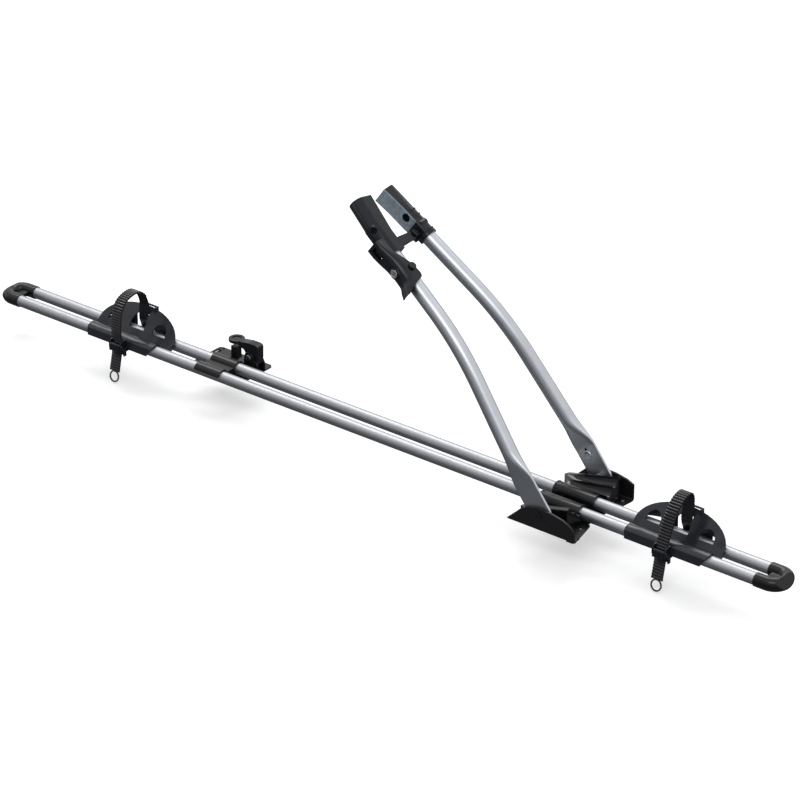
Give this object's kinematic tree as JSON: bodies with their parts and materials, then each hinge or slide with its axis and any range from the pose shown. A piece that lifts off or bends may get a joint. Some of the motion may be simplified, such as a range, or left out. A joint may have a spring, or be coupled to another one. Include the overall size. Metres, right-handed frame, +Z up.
{
  "type": "roof mounted bike carrier",
  "caption": "Roof bar bike carrier: twin tubes on two feet, folding arms with a frame clamp, and sliding wheel trays with ratchet straps.",
  "frame": {"origin": "on the roof bar, at the middle of the front foot's rubber seat, under the arm pivots", "axes": "+X along the tubes to the front end, +Y to the far side, away from the tension lever, +Z up"},
  "size_m": [1.4698, 0.1614, 0.4401],
  "materials": {
    "tube": "satin anodised",
    "arm_tube": "satin anodised",
    "plate_black": "black powder coat",
    "mould_black": "fine grained moulding",
    "rubber_black": "matt",
    "pad_grey": "matt, pale grey",
    "strap_black": "soft, toothed",
    "steel": "zinc plated",
    "chrome_lock": "polished",
    "bolt_black": "black oxide"
  },
  "bodies": {
    "carrier": {"rail_near": "tube", "rail_far": "tube", "end_cap_front": "mould_black", "end_cap_rear": "mould_black", "front_foot_plate": "plate_black", "front_saddle": "mould_black", "gusset_near": "mould_black", "gusset_far": "mould_black", "foot_rivets": "steel", "front_bar_pad": "rubber_black", "pivot_bolt_near": "bolt_black", "pivot_bolt_far": "bolt_black", "pivot_nut_near": "steel", "pivot_nut_far": "steel"},
    "near_arm": {"arm_near": "arm_tube", "jaw_near": "mould_black", "pad_near": "pad_grey", "jaw_screw_near": "bolt_black", "lever_pin": "bolt_black"},
    "far_arm": {"arm_far": "arm_tube", "jaw_far": "mould_black", "pad_far": "pad_grey", "jaw_screw_far": "bolt_black", "rack_pin": "steel"},
    "rack": {"clamp_rack": "mould_black"},
    "lever": {"tension_lever": "mould_black", "lever_pawl": "bolt_black", "lock_ring": "chrome_lock"},
    "lock": {"lock_core": "chrome_lock"},
    "front_tray": {"front_tray": "mould_black", "front_strap": "strap_black", "front_buckle": "mould_black", "front_buckle_pin": "steel"},
    "front_release": {"front_buckle_lever": "mould_black"},
    "rear_tray": {"rear_tray": "mould_black", "rear_strap": "strap_black", "rear_buckle": "mould_black", "rear_buckle_pin": "steel"},
    "rear_release": {"rear_buckle_lever": "mould_black"},
    "rear_foot": {"rear_saddle": "mould_black", "rear_plate": "plate_black", "rear_bar_pad": "rubber_black", "clamp_bracket": "plate_black", "clamp_pin": "steel"},
    "rear_lever": {"clamp_lever": "mould_black"},
    "rear_hook": {"clamp_hook": "bolt_black"}
  },
  "joints": [
    {"name": "arm_fold", "type": "hinge", "parent": "carrier", "child": "near_arm", "pos_m": [0, -0.0715, 0.026], "axis": [0, -1, 0], "range_deg": [-30, 40]},
    {"name": "far_arm_splay", "type": "hinge", "parent": "near_arm", "child": "far_arm", "pos_m": [0, 0.0715, 0.026], "axis": [-0.592, 0, -0.8059], "range_deg": [-1.7, 3.4]},
    {"name": "rack_swing", "type": "hinge", "parent": "far_arm", "child": "rack", "pos_m": [-0.30247, 0.02, 0.33712], "axis": [-0.592, 0, -0.8059], "range_deg": [-3.4, 1.7]},
    {"name": "lever_tension", "type": "hinge", "parent": "near_arm", "child": "lever", "pos_m": [-0.26649, -0.04207, 0.31083], "axis": [0.5926, 0.0234, 0.8051], "range_deg": [0, 20]},
    {"name": "lock_turn", "type": "hinge", "parent": "lever", "child": "lock", "pos_m": [-0.27156, -0.06158, 0.31514], "axis": [-0.0529, -0.9963, 0.0679], "range_deg": [0, 90]},
    {"name": "front_tray_slide", "type": "slide", "parent": "carrier", "child": "front_tray", "axis": [1, 0, 0], "range_m": [-0.036, 0.06]},
    {"name": "front_buckle_release", "type": "hinge", "parent": "front_tray", "child": "front_release", "pos_m": [0.1823, -0.0406, 0.017], "axis": [-1, 0, 0], "range_deg": [0, 30], "stiffness_Nm_per_rad": 0.02, "springref_deg": -5.73},
    {"name": "rear_tray_slide", "type": "slide", "parent": "carrier", "child": "rear_tray", "axis": [1, 0, 0], "range_m": [-0.12, 0.028]},
    {"name": "rear_buckle_release", "type": "hinge", "parent": "rear_tray", "child": "rear_release", "pos_m": [-0.8357, -0.0406, 0.017], "axis": [-1, 0, 0], "range_deg": [0, 30], "stiffness_Nm_per_rad": 0.02, "springref_deg": -5.73},
    {"name": "rear_foot_slide", "type": "slide", "parent": "carrier", "child": "rear_foot", "axis": [1, 0, 0], "range_m": [-0.028, 0.05]},
    {"name": "clamp_lever_turn", "type": "hinge", "parent": "rear_foot", "child": "rear_lever", "pos_m": [-0.6387, 0.05, 0.0257], "axis": [0, 1, 0], "range_deg": [0, 90]},
    {"name": "clamp_hook_draw", "type": "slide", "parent": "rear_foot", "child": "rear_hook", "axis": [0, 0, -1], "range_m": [0, 0.008]}
  ],
  "couplings": [
    {"joint": "rack_swing", "follows": "far_arm_splay", "ratio": -1},
    {"joint": "clamp_hook_draw", "follows": "clamp_lever_turn", "m_per_rad": 0.005}
  ]
}
